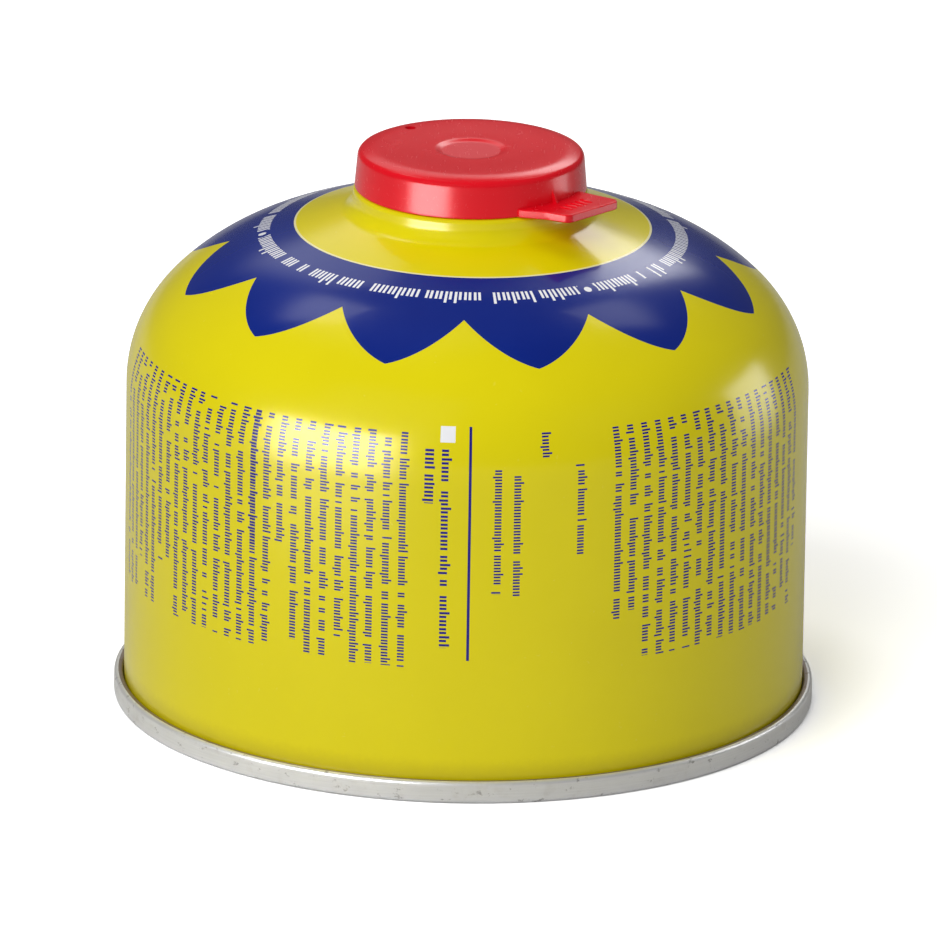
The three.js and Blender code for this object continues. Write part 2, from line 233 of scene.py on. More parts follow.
def canPaint():
    size = printSizes
    material, maker, place = newMaterial("yellow can paint")
    x, y, z = maker.split(place)
    radius, angle = polar(maker, x, y)
    onWall = radius > canSizes["bodyRadius"] - size["wallMargin"]
    onDome = z > canSizes["wallTop"]

    # the band of petals round the neck, whose middle is a little off the axis, and the pale line inside it
    bandRadius, bandAngle = polar(maker, x - size["offset"], y)
    phase = ((bandAngle - size["petalTurn"]) / (360 / size["petals"]) + 0.5).math("FRACT") - 0.5
    fromTip = phase.math("ABSOLUTE") * 2
    depth = size["tipRadius"] - size["valleyRadius"]
    narrowing = fromTip * size["tipPoint"] + fromTip * fromTip * (1 - size["tipPoint"])
    edge = size["tipRadius"] - depth * narrowing
    band = (bandRadius < edge) * (bandRadius > size["bandInner"]) * onDome
    fineLine = (bandRadius < size["bandInner"]) * (bandRadius > size["bandInner"] - size["lineWidth"])
    fineLine = fineLine * onDome

    # white strokes round the band, with a few round dots between them
    ringAlong = (bandAngle + 180) * size["ringMiddle"] * (math.pi / 180)
    white = strokeRows(maker, ringAlong, bandRadius - size["ringRadius"], ringRow)
    dotTurn = 360 / size["dots"]
    dotPhase = ((bandAngle - size["dotTurn"]) / dotTurn + 0.5).math("FRACT") - 0.5
    dotX = dotPhase * dotTurn * (size["ringMiddle"] * math.pi / 180)
    dotY = bandRadius - size["ringMiddle"]
    dotDistance = maker.math("SQRT", dotX * dotX + dotY * dotY)
    white = white * (dotDistance > size["dotClear"])
    white = white.math("MAXIMUM", dotDistance < size["dotRadius"]) * onDome

    # rows of strokes down the wall, on both sides of the rule, and a small white square
    ruleMiddle = ((angle - size["ruleAngle"]) * arcLength).math("ABSOLUTE")
    ink = (ruleMiddle < size["ruleHalf"]) * (z > size["ruleBottom"]) * (z < size["ruleTop"])
    for start, top, sizes in printBlocks:
        ink = ink.math("MAXIMUM", strokeRows(maker, top - z, (angle - start) * arcLength, sizes))
    ink = ink * onWall
    labelSide = ((angle - size["labelAngle"]) * arcLength).math("ABSOLUTE") < size["labelHalf"]
    labelHeight = (z - size["labelMiddle"]).math("ABSOLUTE") < size["labelHalf"]
    white = white.math("MAXIMUM", labelSide * labelHeight * onWall)

    # the paint lies a little unevenly, has pale flecks, and has painted shade just above the seam
    cloud = maker.noise(place, 0.05, 3)
    grain = maker.noise(place, 1.1, 4, 0.6)
    fleck = maker.ramp(maker.noise(place, 0.75, 2, 0.7), 0.70, 0.76)
    yellow = maker.mix(cloud, colour(222, 207, 0), colour(230, 216, 2))
    yellow = maker.mix(fleck * 0.25, yellow, colour(238, 226, 90))
    shade = maker.mix(fineLine, yellow, colour(238, 232, 170))
    blue = maker.mix(cloud, colour(2, 28, 118), colour(6, 40, 136))
    shade = maker.mix(band, shade, blue)
    shade = maker.mix(ink, shade, colour(28, 26, 130))
    shade = maker.mix(white, shade, colour(240, 241, 244))
    # painted shade: the yellow darkens towards the seam, where the wall meets the base
    shadeOverSeam = 1 - maker.ramp(z, size["shadeBottom"], size["shadeTop"] + grain * size["shadeGrain"])
    shade = maker.mix(shadeOverSeam * 0.3, shade, colour(140, 118, 20))
    bumped = maker.bump(maker.noise(place, 0.45, 2), 0.05, 0.0002)
    surface(maker, {
        "Base Color": shade, "Roughness": 0.2 + grain * 0.08, "Specular IOR Level": 0.3,
        "Coat Weight": 0.25, "Coat Roughness": 0.05, "Normal": bumped,
    })
    return material


# the groove between the can's wall and the seam, which is painted dark as shade
grooveSizes = {"inner": 53.2, "outer": 54.3, "bottom": 2.2}


def seamTinplate():
    material, maker, place = newMaterial("tinned steel of the base")
    x, y, z = maker.split(place)
    radius, angle = polar(maker, x, y)
    # streaks run round the seam, and small dark scuffs and a few stains lie on it
    drawn = maker.join(angle * 0.10, z * 4.0, radius * 4.0)
    streak = maker.noise(drawn, 1.0, 4, 0.65)
    cloud = maker.noise(place, 0.12, 3, 0.6)
    spots = maker.ramp(maker.noise(maker.scaled(place, 1, 1, 1.6), 0.55, 3, 0.7), 0.60, 0.72)
    stained = maker.ramp(maker.noise(place, 0.28, 4, 0.6), 0.52, 0.75)
    shade = maker.mix(streak, colour(222, 222, 222), colour(250, 250, 250))
    shade = maker.mix(cloud * 0.3, shade, colour(166, 163, 158))
    shade = maker.mix(spots * 0.55, shade, colour(92, 84, 74))
    # painted shade: the groove between the wall and the seam is painted dark brown
    grooveShade = (radius < grooveSizes["outer"]) * (radius > grooveSizes["inner"])
    grooveShade = grooveShade * (z > grooveSizes["bottom"])
    shade = maker.mix(grooveShade * 0.8, shade, colour(96, 66, 22))
    shade = maker.mix(stained * 0.15, shade, colour(140, 122, 92))
    rough = 0.26 + streak * 0.16 + spots * 0.2 + stained * 0.1
    bumped = maker.bump(streak * 0.5 + spots * -0.6, 0.2, 0.0001)
    surface(maker, {"Base Color": shade, "Metallic": 0.5, "Roughness": rough, "Normal": bumped})
    return material


def cupTinplate():
    material, maker, place = newMaterial("lacquered tinplate of the cup")
    x, y, z = maker.split(place)
    radius, angle = polar(maker, x, y)
    drawn = maker.join(angle * 0.06, z * 3.0, radius * 5.0)
    streak = maker.noise(drawn, 1.0, 4, 0.6)
    cloud = maker.noise(place, 0.25, 3)
    spots = maker.ramp(maker.noise(place, 0.9, 3, 0.7), 0.66, 0.74)
    shade = maker.mix(streak, colour(186, 184, 178), colour(226, 224, 220))
    shade = maker.mix(cloud * 0.3, shade, colour(196, 178, 130))
    shade = maker.mix(spots * 0.3, shade, colour(110, 104, 96))
    bumped = maker.bump(streak, 0.12, 0.0001)
    rough = 0.22 + streak * 0.14 + spots * 0.15
    surface(maker, {"Base Color": shade, "Metallic": 0.92, "Roughness": rough, "Normal": bumped})
    return material


# the cap's sizes, which its plastic and its shape both use
capSizes = {
    "radius": 18.15, "bore": 16.95, "wall": 1.2, "draft": 5, "bottom": 83.089, "crest": 89.421,
    "round": 1.15, "brow": 7, "browSlope": 20, "dishDepth": 0.5, "dishFall": 0.35, "disc": 4.4,
    "discSlope": 1.4, "discUnder": 0.3, "beadRadius": 16.55, "beadMiddle": 83.789, "beadHeight": 0.9,
    "rounds": {
        "disc": 0.8, "roof": 3.0, "bore": 0.5, "overBead": 0.2, "bead": 0.25, "lip": 0.12, "foot": 0.22,
    },
    "sheenMargin": 0.2, "sheenDepth": 0.8, "crease": 33, "edgeCrease": 50,
    "ventBore": 0.85, "ventPlace": 13.9, "ventAngle": -136.5, "ventReach": 4,
    "tabAngle": 51.8, "tabReach": 6.5, "tabSkew": 0.45, "tabWidth": 11.9, "tabThickness": 1.35,
    "tabCorner": 1.2, "tabWaist": 2.2, "tabFlare": 0.7, "tabWaistRound": 3, "tabTaper": 0.36,
    "tabRoot": 0.45, "tabStart": 0.3, "tabEdge": 0.22, "webAngle": 28,
    "ribs": 5, "ribPitch": 1.25, "ribWidth": 0.62, "ribLength": 2.6, "ribHeight": 0.25, "ribGrowth": 1.15,
    "gussetAngle": 45.8, "gussetHeight": 2.0, "gussetDepth": 0.75, "gussetWidth": 0.4, "gussetRoot": 0.7,
    "sides": 192,
}


def capPlastic():
    material, maker, place = newMaterial("red cap plastic")
    x, y, z = maker.split(place)
    radius, angle = polar(maker, x, y)
    cloud = maker.noise(place, 0.12, 3)
    flow = maker.noise(maker.join(angle * 0.05, radius * 0.3, z * 0.6), 1.0, 4, 0.6)
    scratches = maker.ramp(maker.noise(maker.scaled(place, 2.2, 0.25, 1.0), 1.2, 4, 0.7), 0.62, 0.72)
    shade = maker.mix(cloud, colour(220, 4, 24), colour(232, 8, 30))
    shade = maker.mix(flow * 0.15, shade, colour(238, 30, 44))
    shade = maker.mix(scratches * 0.12, shade, colour(240, 120, 120))
    # the disc in the middle of the dish is painted paler, a painted reflection of the light its flat face
    # catches
    discSheen = radius < capSizes["disc"] + capSizes["sheenMargin"]
    discSheen = discSheen * (z > capSizes["crest"] - capSizes["sheenDepth"])
    shade = maker.mix(discSheen * 0.55, shade, colour(238, 92, 98))
    rough = 0.22 + flow * 0.08 + scratches * 0.1
    bumped = maker.bump(maker.noise(place, 0.6, 2, 0.5), 0.05, 0.0001)
    surface(maker, {
        "Base Color": shade, "Roughness": rough, "Specular IOR Level": 0.3, "Coat Weight": 0.15,
        "Coat Roughness": 0.08, "Normal": bumped,
    })
    return material


def blackRubber():
    material, maker, place = newMaterial("black rubber")
    dust = maker.noise(place, 1.5, 4, 0.7)
    shade = maker.mix(dust, colour(24, 24, 25), colour(48, 47, 46))
    bumped = maker.bump(dust, 0.3, 0.0001)
    surface(maker, {"Base Color": shade, "Roughness": 0.62 + dust * 0.25, "Normal": bumped})
    return material


def paleAcetal():
    material, maker, place = newMaterial("pale acetal")
    cloud = maker.noise(place, 0.8, 3)
    shade = maker.mix(cloud, colour(226, 222, 208), colour(238, 236, 226))
    bumped = maker.bump(maker.noise(place, 4.0, 2), 0.1, 0.0001)
    surface(maker, {"Base Color": shade, "Roughness": 0.36 + cloud * 0.12, "Normal": bumped})
    return material


def springSteel():
    material, maker, place = newMaterial("spring steel")
    streak = maker.noise(place, 3.0, 4, 0.7)
    shade = maker.mix(streak, colour(150, 152, 156), colour(206, 207, 210))
    surface(maker, {"Base Color": shade, "Metallic": 0.95, "Roughness": 0.2 + streak * 0.2})
    return material


finishes = {
    "yellow_paint": canPaint(), "seam": seamTinplate(), "tinplate": cupTinplate(),
    "red_plastic": capPlastic(), "black_rubber": blackRubber(), "pale_acetal": paleAcetal(),
    "spring_steel": springSteel(),
}
print("materials made:", len(finishes))


# a geometry tree with named inputs; returns its maker and the wires of those inputs
def newTree(name, inputs):
    tree = bpy.data.node_groups.new(name, "GeometryNodeTree")
    tree.interface.new_socket("Geometry", in_out="OUTPUT", socket_type="NodeSocketGeometry")
    tree.interface.new_socket("Geometry", in_out="INPUT", socket_type="NodeSocketGeometry")
    for label, kind in inputs.items():
        tree.interface.new_socket(label, in_out="INPUT", socket_type="NodeSocket" + kind)
    maker = Maker(tree)
    group = tree.nodes.new("NodeGroupInput")
    wires = {socket.name: Wire(maker, socket) for socket in group.outputs if socket.name}
    return maker, wires


def endTree(maker, geometry, material):
    real = maker.node("GeometryNodeRealizeInstances", {}, {"Geometry": geometry})
    dressed = maker.node("GeometryNodeSetMaterial", {}, {"Geometry": real, "Material": material})
    maker.tree.links.new(dressed.socket, maker.tree.nodes.new("NodeGroupOutput").inputs[0])
    return maker.tree


# how near the threaded face counts as on it, the groove's shape, the merging distance, the rise of a closed
# turn in wire radii, and a guard for rounding down
treeSizes = {"onFace": 0.02, "groovePower": 0.8, "merge": 0.002, "closedRise": 2.2, "guard": 0.0001}


# A section is turned about the axis. Where a thread is asked for, it is cut into the face at its radius.
def turnedTree():
    maker, given = newTree("turned section", {
        "Sides": "Int", "Crease": "Float", "Thread Radius": "Float", "Thread Depth": "Float",
        "Thread Pitch": "Float", "Thread Bottom": "Float", "Thread Top": "Float", "Material": "Material",
    })
    size = maker.node("GeometryNodeAttributeDomainSize", {"component": "MESH"},
                      {"Geometry": given["Geometry"]})
    columns = given["Sides"] + 1
    grid = maker.node("GeometryNodeMeshGrid", {}, {"Vertices X": size, "Vertices Y": columns})
    index = maker.node("GeometryNodeInputIndex")
    row = (index / columns + treeSizes["guard"]).math("FLOOR")
    column = index - row * columns
    position = maker.node("GeometryNodeInputPosition")
    sampled = maker.node("GeometryNodeSampleIndex", {"data_type": "FLOAT_VECTOR", "domain": "POINT"},
                         {"Geometry": given["Geometry"], "Value": position, "Index": row})
    radius, height = maker.split(sampled)[::2]
    turn = column / given["Sides"]
    angle = turn * (2 * math.pi)
    # the groove's depth over one pitch is a rounded wave, which runs out at both ends of the thread
    wave = 0.5 - 0.5 * ((height / given["Thread Pitch"] - turn) * (2 * math.pi)).math("COSINE")
    runIn = maker.ramp(height, given["Thread Bottom"], given["Thread Bottom"] + given["Thread Pitch"])
    runOut = 1 - maker.ramp(height, given["Thread Top"] - given["Thread Pitch"], given["Thread Top"])
    onFace = (radius - given["Thread Radius"]).math("ABSOLUTE") < treeSizes["onFace"] * mm
    groove = given["Thread Depth"] * wave.math("POWER", treeSizes["groovePower"]) * runIn * runOut * onFace
    cut = radius - groove
    placed = maker.join(cut * angle.math("SINE"), -(cut * angle.math("COSINE")), height)
    moved = maker.node("GeometryNodeSetPosition", {}, {"Geometry": grid, "Position": placed})
    merged = maker.node("GeometryNodeMergeByDistance", {},
                        {"Geometry": moved, "Distance": treeSizes["merge"] * mm})
    bent = maker.node("GeometryNodeInputMeshEdgeAngle") > given["Crease"]
    smooth = maker.node("GeometryNodeSetShadeSmooth", {"domain": "FACE"}, {"Geometry": merged})
    smooth = maker.node("GeometryNodeSetShadeSmooth", {"domain": "EDGE"},
                        {"Geometry": smooth, "Selection": bent, "Shade Smooth": False})
    return endTree(maker, smooth, given["Material"])


# Round wire along a coil whose end turns lie flat.
def coilTree():
    maker, given = newTree("coil spring", {
        "Mean Radius": "Float", "Wire Radius": "Float", "Bottom": "Float", "Top": "Float", "Turns": "Float",
        "Steps": "Int", "Sides": "Int", "Material": "Material",
    })
    line = maker.node("GeometryNodeCurvePrimitiveLine", {}, {"End": (0, 0, 0.01)})
    points = maker.node("GeometryNodeResampleCurve", {}, {"Curve": line, "Count": given["Steps"]})
    along = maker.node("GeometryNodeSplineParameter") * given["Turns"]
    angle = along * (2 * math.pi)
    closedRise = given["Wire Radius"] * treeSizes["closedRise"]
    lowTurn = along.math("MINIMUM", 1)
    highTurn = (along - given["Turns"] + 1).math("MAXIMUM", 0)
    opened = maker.clamp((along - 1) / (given["Turns"] - 2))
    span = given["Top"] - given["Bottom"] - 2 * closedRise
    height = given["Bottom"] + (lowTurn + highTurn) * closedRise + opened * span
    sideways = given["Mean Radius"] * angle.math("SINE")
    forwards = -(given["Mean Radius"] * angle.math("COSINE"))
    path = maker.join(sideways, forwards, height)
    coil = maker.node("GeometryNodeSetPosition", {}, {"Geometry": points, "Position": path})
    ring = maker.node("GeometryNodeCurvePrimitiveCircle", {},
                      {"Resolution": given["Sides"], "Radius": given["Wire Radius"]})
    wire = maker.node("GeometryNodeCurveToMesh", {},
                      {"Curve": coil, "Profile Curve": ring, "Fill Caps": True})
    smooth = maker.node("GeometryNodeSetShadeSmooth", {"domain": "FACE"}, {"Geometry": wire})
    return endTree(maker, smooth, given["Material"])


# A row of small rounded ribs, side by side across their own length.
def ribTree():
    maker, given = newTree("row of ribs", {
        "Count": "Int", "Pitch": "Float", "Size": "Vector", "Middle": "Vector", "Turn": "Float",
        "Material": "Material",
    })
    bar = maker.node("GeometryNodeMeshCube", {}, {"Size": given["Size"]})
    bar = maker.node("GeometryNodeSubdivisionSurface", {}, {"Mesh": bar, "Level": 3})
    step = maker.join(0.0, given["Pitch"], 0.0)
    line = maker.node("GeometryNodeMeshLine", {}, {"Count": given["Count"], "Offset": step})
    placed = maker.node("GeometryNodeInstanceOnPoints", {}, {"Points": line, "Instance": bar})
    centring = maker.join(0.0, given["Pitch"] * (given["Count"] - 1) * -0.5, 0.0)
    placed = maker.node("GeometryNodeTransform", {}, {"Geometry": placed, "Translation": centring})
    rotation = maker.join(0.0, 0.0, given["Turn"])
    turned = maker.node("GeometryNodeTransform", {},
                        {"Geometry": placed, "Translation": given["Middle"], "Rotation": rotation})
    return endTree(maker, turned, given["Material"])


trees = {"turned": turnedTree(), "coil": coilTree(), "ribs": ribTree()}
print("geometry trees made:", len(trees))


def newObject(name, vertices, edges=(), faces=()):
    mesh = bpy.data.meshes.new(name)
    mesh.from_pydata([tuple(v) for v in vertices], list(edges), list(faces))
    made = bpy.data.objects.new(name, mesh)
    bpy.context.scene.collection.objects.link(made)
    return made


# gives an object a geometry tree with these inputs, and keeps the result as its plain mesh
def grow(made, tree, inputs):
    modifier = made.modifiers.new(tree.name, "NODES")
    modifier.node_group = tree
    for item in tree.interface.items_tree:
        if item.item_type == "SOCKET" and item.in_out == "INPUT" and item.name in inputs:
            modifier[item.identifier] = inputs[item.name]
    return keepMesh(made)


# turns what an object's modifiers make into its plain mesh
def keepMesh(made):
    bpy.context.view_layer.update()
    graph = bpy.context.evaluated_depsgraph_get()
    shaped = made.evaluated_get(graph)
    mesh = bpy.data.meshes.new_from_object(shaped, preserve_all_data_layers=True, depsgraph=graph)
    mesh.name = made.name
    made.modifiers.clear()
    made.data = mesh
    return made


# points on an arc, with its angles in degrees
def arc(centre, radius, start, end, steps):
    points = []
    for step in range(steps + 1):
        angle = math.radians(start + (end - start) * step / steps)
        points.append((centre[0] + radius * math.cos(angle), centre[1] + radius * math.sin(angle)))
    return points


# A section's corners are (radius, height) or (radius, height, rounding), and each rounding becomes an arc.
def rounded(corners, steps=5):
    outline = []
    count = len(corners)
    for index, corner in enumerate(corners):
        here = Vector(corner[:2])
        if len(corner) < 3:
            outline.append(tuple(here))
            continue
        before = (Vector(corners[(index - 1) % count][:2]) - here).normalized()
        after = (Vector(corners[(index + 1) % count][:2]) - here).normalized()
        half = before.angle(after) / 2
        centre = here + (before + after).normalized() * corner[2] / math.sin(half)
        first = here + before * corner[2] / math.tan(half) - centre
        last = here + after * corner[2] / math.tan(half) - centre
        start = math.degrees(math.atan2(first.y, first.x))
        sweep = math.degrees(math.atan2(last.y, last.x)) - start
        sweep = (sweep + 180) % 360 - 180
        outline += arc(centre, corner[2], start, start + sweep, steps)
    return outline


# extra rings close to both ends of each long straight stretch hold its shading flat
def held(section, margin=0.35):
    outline = [section[0]]
    for first, second in zip(section, section[1:]):
        a = Vector(first)
        b = Vector(second)
        length = (b - a).length
        if length > margin * 4:
            way = (b - a).normalized()
            outline += [tuple(a + way * margin), tuple(b - way * margin)]
        outline.append(second)
    return outline


# a piece turned from its section of (radius, height) in millimetres; the crease angle is in degrees
def turnedPiece(name, section, material, sides=192, crease=32, thread=None):
    points = [(radius * mm, 0, height * mm) for radius, height in section]
    edges = [(index, index + 1) for index in range(len(points) - 1)]
    made = newObject(name, points, edges)
    inputs = {"Sides": sides, "Crease": math.radians(crease), "Thread Pitch": mm, "Material": material}
    inputs.update(thread or {})
    return grow(made, trees["turned"], inputs)


def closed(section):
    return [*section, section[0]]


# places that the pieces share: the base's curves, and the roll that curl, gasket and cup have in common
baseSizes = {
    "seamRadius": 55.0, "seamHeight": 3.49, "seamRound": 0.62, "seamFloor": 1.0, "seamGap": 0.15,
    "footInner": 0.75, "footOuter": 0.6, "hookRound": 0.3, "sheet": 0.5, "chuckRadius": 52.0,
    "bendHeight": 3.5, "bend": 1.0, "slope": 16, "fillGap": 0.3,
}
bendCentre = (baseSizes["chuckRadius"] - baseSizes["sheet"] - baseSizes["bend"], baseSizes["bendHeight"])
rollCentre = (canSizes["curlBore"] + canSizes["curlTube"], 85.171)


# the base's panel seen in section: its bend and its dome, offset from the underside
def panelCurve(offset):
    bend = baseSizes["bend"] + offset
    slope = math.radians(baseSizes["slope"])
    domeRadius = bendCentre[0] / math.sin(slope) + bend
    domeCentre = (0, bendCentre[1] - bendCentre[0] / math.tan(slope))
    top = arc(domeCentre, domeRadius, 90 - baseSizes["slope"], 90, 24)
    return [*arc(bendCentre, bend, 0, 90 - baseSizes["slope"], 10), *top[1:]]


def canBody():
    size = canSizes
    shoulderCentre = (size["bodyRadius"] - size["shoulderRadius"], size["wallTop"])
    turn = math.radians(size["shoulderTurn"])
    slope = math.radians(size["coneSlope"])
    reach = size["shoulderRadius"] - size["crownRadius"]
    crownCentre = (shoulderCentre[0] + reach * math.cos(turn), shoulderCentre[1] + reach * math.sin(turn))
    crownEnd = arc(crownCentre, size["crownRadius"], 90 - size["coneSlope"], 90, 1)[0]
    filletRadius = size["neckRadius"] + size["neckFillet"]
    coneTop = filletRadius - size["neckFillet"] * math.sin(slope)
    coneHeight = crownEnd[1] + (crownEnd[0] - coneTop) * math.tan(slope)
    filletHeight = coneHeight + size["neckFillet"] * math.cos(slope)
    shoulderTop = filletHeight + size["neckWall"] + size["neckEdge"]
    edgeCentre = (size["neckRadius"] - size["neckEdge"], shoulderTop - size["neckEdge"])
    wallInside = size["curlBore"] + size["sheet"]
    rollAngle = math.degrees(math.acos((wallInside - rollCentre[0]) / size["curlTube"]))
    wallFoot = baseSizes["seamFloor"] + baseSizes["fillGap"]
    section = [
        *reversed(panelCurve(baseSizes["sheet"] + baseSizes["fillGap"])),
        (size["bodyRadius"] - size["hookWidth"], wallFoot),
        (size["bodyRadius"], wallFoot),
        *arc(shoulderCentre, size["shoulderRadius"], 0, size["shoulderTurn"], 22),
        *arc(crownCentre, size["crownRadius"], size["shoulderTurn"], 90 - size["coneSlope"], 14)[1:],
        *arc((filletRadius, filletHeight), size["neckFillet"], 270 - size["coneSlope"], 180, 12),
        *arc(edgeCentre, size["neckEdge"], 0, 90, 8),
        (wallInside, shoulderTop),
        *arc(rollCentre, size["curlTube"], -rollAngle, 180, 22),
        (size["curlBore"], shoulderTop - size["sheet"]),
        (size["pocketRadius"], shoulderTop - size["sheet"]),
        (size["pocketRadius"], size["pocketFloor"]),
        (size["boreRadius"], size["pocketFloor"]),
        (size["boreRadius"], size["boreFloor"]),
        (0, size["boreFloor"]),
    ]
    return turnedPiece("can_body_painted", held(section), finishes["yellow_paint"], size["sides"])


def baseEnd():
    size = baseSizes
    hookInside = canSizes["bodyRadius"] + size["seamGap"]
    inner = size["chuckRadius"] - size["sheet"]
    section = [
        *reversed(panelCurve(0)),
        *rounded([
            (inner, bendCentre[1]), (inner, 0, size["footInner"]),
            (size["seamRadius"], 0, size["footOuter"]),
            (size["seamRadius"], size["seamHeight"], size["seamRound"]),
            (hookInside, size["seamHeight"], size["hookRound"]), (hookInside, size["seamFloor"]),
        ], 7)[1:],
        (size["chuckRadius"], size["seamFloor"]),
        *panelCurve(size["sheet"]),
    ]
    return turnedPiece("base_end_tinned", held(section), finishes["seam"], canSizes["sides"])


cupSizes = {
    "inner": 1.85, "outer": 2.3, "tuck": 60, "floor": 78.621, "corner": 1.1, "bulge": 1.05,
    "crimpTop": 82.54, "crimpBottom": 79.77, "collarRadius": 5.555, "collarTop": 86.971, "collarRound": 0.5,
    "collarFillet": 0.6, "sheet": 0.45, "hole": 2.6, "threadPitch": 0.907, "threadDepth": 0.36,
    "threadBottom": 79.9, "threadTop": 86.5, "threadRings": 90, "flankShare": 0.35, "crimpRound": 0.5,
    "crimpFoot": 0.1,
}


def valveCup():
    size = cupSizes
    wellInside = rollCentre[0] - size["outer"]
    flank = (size["crimpTop"] - size["crimpBottom"]) * size["flankShare"]

    # one face of the sheet, from the roll's end to the stem hole; offset is 0 on the face that shows
    def face(offset, rings):
        radius = wellInside + offset
        crimp = rounded([
            (radius, rollCentre[1]), (radius, size["crimpTop"], size["crimpRound"]),
            (radius + size["bulge"], size["crimpTop"] - flank, size["crimpRound"]),
            (radius + size["bulge"], size["crimpBottom"] + flank, size["crimpRound"]),
            (radius, size["crimpBottom"], size["crimpFoot"]), (radius, size["floor"] + size["corner"]),
        ], 5)[1:-1]
        bottom = (radius - size["corner"] - offset, size["floor"] + size["corner"])
        foot = (size["collarRadius"] + size["collarFillet"], size["floor"] + size["collarFillet"])
        outerRound = size["collarRound"] + size["sheet"] - offset
        top = (size["collarRadius"] - outerRound - offset, size["collarTop"] - outerRound - offset)
        ring = (top[1] - foot[1]) / rings
        wall = [(size["collarRadius"] - offset, foot[1] + ring * step) for step in range(1, rings)]
        return [
            *arc(rollCentre, size["outer"] - offset, -size["tuck"], 180, 30),
            *crimp,
            *arc(bottom, size["corner"] + offset, 0, -90, 8),
            *arc(foot, size["collarFillet"] + offset, 270, 180, 6),
            *wall,
            *arc(top, outerRound, 0, 90, 6),
            (size["hole"], size["collarTop"] - offset),
        ]

    section = closed([*face(0, size["threadRings"]), *reversed(face(size["sheet"], 4))])
    thread = {
        "Thread Radius": size["collarRadius"] * mm, "Thread Depth": size["threadDepth"] * mm,
        "Thread Pitch": size["threadPitch"] * mm, "Thread Bottom": size["threadBottom"] * mm,
        "Thread Top": size["threadTop"] * mm,
    }
    return turnedPiece("valve_cup_threaded", section, finishes["tinplate"], 128, 40, thread)


valveSizes = {
    "gasketInner": 1.5, "gasketOuter": 1.8, "sealTop": 86.471, "sealBottom": 85.271, "sealBore": 1.9,
    "sealRound": 0.1, "headRadius": 4.855, "housingTop": 85.221, "housingBottom": 70.221,
    "headLength": 5.5, "waist": 4.1, "seat": 71.721, "inlet": 0.8, "bore": 2.9, "shaft": 1.8,
    "stemTop": 86.371, "stemHead": 2.65, "headTop": 85.221, "headBottom": 84.021, "pin": 1.2,
    "pinLength": 6.5, "dimple": 0.8, "dimpleDepth": 0.4, "wire": 0.25, "turns": 7, "springGap": 0.05,
    "pressTravel": 1.8, "turnSteps": 28, "wireSides": 10,
}
plasticRounds = {"fine": 0.1, "small": 0.15, "middle": 0.2, "large": 0.25, "largest": 0.3}


def cupGasket():
    size = valveSizes
    outer = arc(rollCentre, size["gasketOuter"], 0, 180, 20)
    inner = arc(rollCentre, size["gasketInner"], 180, 0, 20)
    return turnedPiece("cup_gasket_rubber", closed([*outer, *inner]), finishes["black_rubber"], 128)


def stemSeal():
    size = valveSizes
    edge = size["sealRound"]
    section = rounded([
        (size["sealBore"], size["sealBottom"], edge), (size["headRadius"], size["sealBottom"], edge),
        (size["headRadius"], size["sealTop"], edge), (size["sealBore"], size["sealTop"], edge),
    ], 3)
    return turnedPiece("stem_seal_rubber", closed(section), finishes["black_rubber"], 64)


def valveHousing():
    size = valveSizes
    edge = plasticRounds
    neck = size["housingTop"] - size["headLength"]
    coneTop = neck + size["headRadius"] - size["waist"]
    section = rounded([
        (size["inlet"], size["housingBottom"]), (size["waist"], size["housingBottom"], edge["largest"]),
        (size["waist"], neck, edge["middle"]), (size["headRadius"], coneTop, edge["middle"]),
        (size["headRadius"], size["housingTop"], edge["small"]),
        (size["bore"], size["housingTop"], edge["fine"]),
        (size["bore"], size["seat"], edge["middle"]), (size["inlet"], size["seat"], edge["fine"]),
    ], 4)
    return turnedPiece("valve_housing_moulded", closed(section), finishes["pale_acetal"], 64)


def valveStem():
    size = valveSizes
    edge = plasticRounds
    pinEnd = size["headBottom"] - size["pinLength"]
    section = [(0, pinEnd), *rounded([
        (0, pinEnd), (size["pin"], pinEnd, edge["large"]), (size["pin"], size["headBottom"], edge["fine"]),
        (size["stemHead"], size["headBottom"], edge["small"]),
        (size["stemHead"], size["headTop"], edge["small"]),
        (size["shaft"], size["headTop"], edge["fine"]), (size["shaft"], size["stemTop"], edge["middle"]),
        (size["dimple"], size["stemTop"], edge["small"]), (0, size["stemTop"] - size["dimpleDepth"]),
    ], 4)[1:]]
    return turnedPiece("valve_stem_moulded", section, finishes["pale_acetal"], 64)


def valveSpring():
    size = valveSizes
    made = newObject("valve_spring_wire", [(0, 0, 0)])
    return grow(made, trees["coil"], {
        "Mean Radius": (size["pin"] + size["bore"]) / 2 * mm, "Wire Radius": size["wire"] * mm,
        "Bottom": (size["seat"] + size["springGap"] + size["wire"]) * mm,
        "Top": (size["headBottom"] - size["springGap"] - size["wire"]) * mm,
        "Turns": float(size["turns"]), "Steps": size["turns"] * size["turnSteps"], "Sides": size["wireSides"],
        "Material": finishes["spring_steel"],
    })


def eased(share):
    return share * share * (3 - 2 * share)


# the shares that end each of a number of equal steps, up to 1
def shares(steps):
    return [step / steps for step in range(1, steps + 1)]


